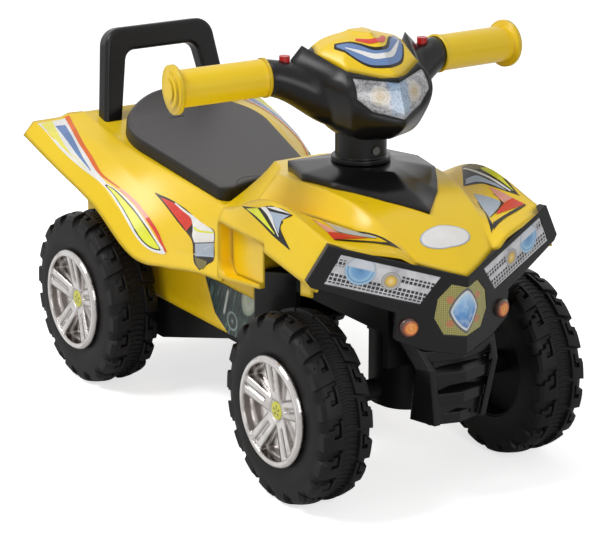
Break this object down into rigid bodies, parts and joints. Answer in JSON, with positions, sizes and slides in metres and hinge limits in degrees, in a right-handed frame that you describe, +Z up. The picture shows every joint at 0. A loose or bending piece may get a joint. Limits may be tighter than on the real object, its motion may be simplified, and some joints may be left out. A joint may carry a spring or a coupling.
{
  "type": "ride-on quad bike",
  "caption": "Child's ride-on quad bike push toy with steered front wheels, lift-up seat over a storage well, rear hand hoop, sprung handlebar buttons and moulded plastic body.",
  "frame": {"origin": "on the ground under the middle of the toy's bounding box", "axes": "+Z up, the toy faces -Y, +X towards the rider's left"},
  "size_m": [0.3878, 0.5959, 0.4136],
  "materials": {
    "tyre_black": "satin moulded black plastic",
    "black_plastic": "semi-gloss black plastic",
    "seat_plastic": "satin dark grey plastic",
    "yellow_plastic": "glossy yellow plastic",
    "bright_plating": "bright metal-plated plastic",
    "steel": "plain steel",
    "printed_panel": "glossy printed panel",
    "orange_plastic": "clear orange plastic",
    "red_plastic": "glossy red plastic",
    "board_green": "circuit board"
  },
  "bodies": {
    "chassis": {"rear_body": "yellow_plastic", "front_body": "yellow_plastic", "storage_tub": "black_plastic", "chassis_tray": "black_plastic", "tray_screws": "steel", "front_frame": "black_plastic", "seat_hinge_pin": "steel", "rear_handle": "black_plastic", "handle_screws": "steel", "column_shroud": "black_plastic", "nose_bezel": "black_plastic", "headlight_panel_left": "printed_panel", "headlight_panel_right": "printed_panel", "badge_panel": "printed_panel", "indicator_left": "orange_plastic", "indicator_right": "orange_plastic", "bumper": "black_plastic", "engine_cover_left": "black_plastic", "engine_cover_right": "black_plastic", "rear_axle": "steel", "rear_axle_caps": "steel", "rear_axle_washers": "black_plastic"},
    "steering_head": {"steering_shaft": "steel", "steering_column": "black_plastic", "column_screw": "steel", "column_arm": "black_plastic", "handlebar_body": "black_plastic", "handlebar_cover": "yellow_plastic", "headlamp_lens": "printed_panel", "battery_door": "black_plastic", "battery_box": "black_plastic", "batteries": "steel", "sound_board": "board_green", "speaker": "black_plastic", "grip_left": "yellow_plastic", "grip_right": "yellow_plastic", "button_springs": "steel"},
    "front_turret": {"steering_turret": "black_plastic", "turret_arm": "black_plastic", "front_axle": "steel", "front_axle_caps": "steel", "front_axle_washers": "black_plastic"},
    "steering_link": {"drag_link": "black_plastic"},
    "wheel_front_left": {"tyre_front_left": "tyre_black", "wheel_hub_front_left": "black_plastic", "hubcap_front_left": "bright_plating"},
    "wheel_front_right": {"tyre_front_right": "tyre_black", "wheel_hub_front_right": "black_plastic", "hubcap_front_right": "bright_plating"},
    "wheel_rear_left": {"tyre_rear_left": "tyre_black", "wheel_hub_rear_left": "black_plastic", "hubcap_rear_left": "bright_plating"},
    "wheel_rear_right": {"tyre_rear_right": "tyre_black", "wheel_hub_rear_right": "black_plastic", "hubcap_rear_right": "bright_plating"},
    "seat": {"seat_lid": "seat_plastic"},
    "horn_button_left": {"button_left": "red_plastic"},
    "horn_button_right": {"button_right": "red_plastic"}
  },
  "joints": [
    {"name": "steering", "type": "hinge", "parent": "chassis", "child": "steering_head", "pos_m": [0, -0.1245, 0.2], "axis": [0, 0, 1], "range_deg": [-15, 15]},
    {"name": "turret_yaw", "type": "hinge", "parent": "chassis", "child": "front_turret", "pos_m": [0, -0.2035, 0.12], "axis": [0, 0, 1], "range_deg": [-15, 15]},
    {"name": "link_pivot", "type": "hinge", "parent": "steering_head", "child": "steering_link", "pos_m": [0.032, -0.1245, 0.181], "axis": [0, 0, 1], "range_deg": [-15, 15]},
    {"name": "wheel_front_left_spin", "type": "hinge", "parent": "front_turret", "child": "wheel_front_left", "pos_m": [0.12, -0.2035, 0.09], "axis": [1, 0, 0], "continuous": true},
    {"name": "wheel_front_right_spin", "type": "hinge", "parent": "front_turret", "child": "wheel_front_right", "pos_m": [-0.12, -0.2035, 0.09], "axis": [1, 0, 0], "continuous": true},
    {"name": "wheel_rear_left_spin", "type": "hinge", "parent": "chassis", "child": "wheel_rear_left", "pos_m": [0.12, 0.1885, 0.09], "axis": [1, 0, 0], "continuous": true},
    {"name": "wheel_rear_right_spin", "type": "hinge", "parent": "chassis", "child": "wheel_rear_right", "pos_m": [-0.12, 0.1885, 0.09], "axis": [1, 0, 0], "continuous": true},
    {"name": "seat_lift", "type": "hinge", "parent": "chassis", "child": "seat", "pos_m": [0, 0.25834, 0.26619], "axis": [-1, 0, 0], "range_deg": [0, 40]},
    {"name": "button_left_press", "type": "slide", "parent": "steering_head", "child": "horn_button_left", "axis": [0, 0, -1], "range_m": [0, 0.002], "stiffness_N_per_m": 400},
    {"name": "button_right_press", "type": "slide", "parent": "steering_head", "child": "horn_button_right", "axis": [0, 0, -1], "range_m": [0, 0.002], "stiffness_N_per_m": 400}
  ],
  "couplings": [
    {"joint": "turret_yaw", "follows": "steering", "ratio": 1},
    {"joint": "link_pivot", "follows": "steering", "ratio": -1}
  ]
}
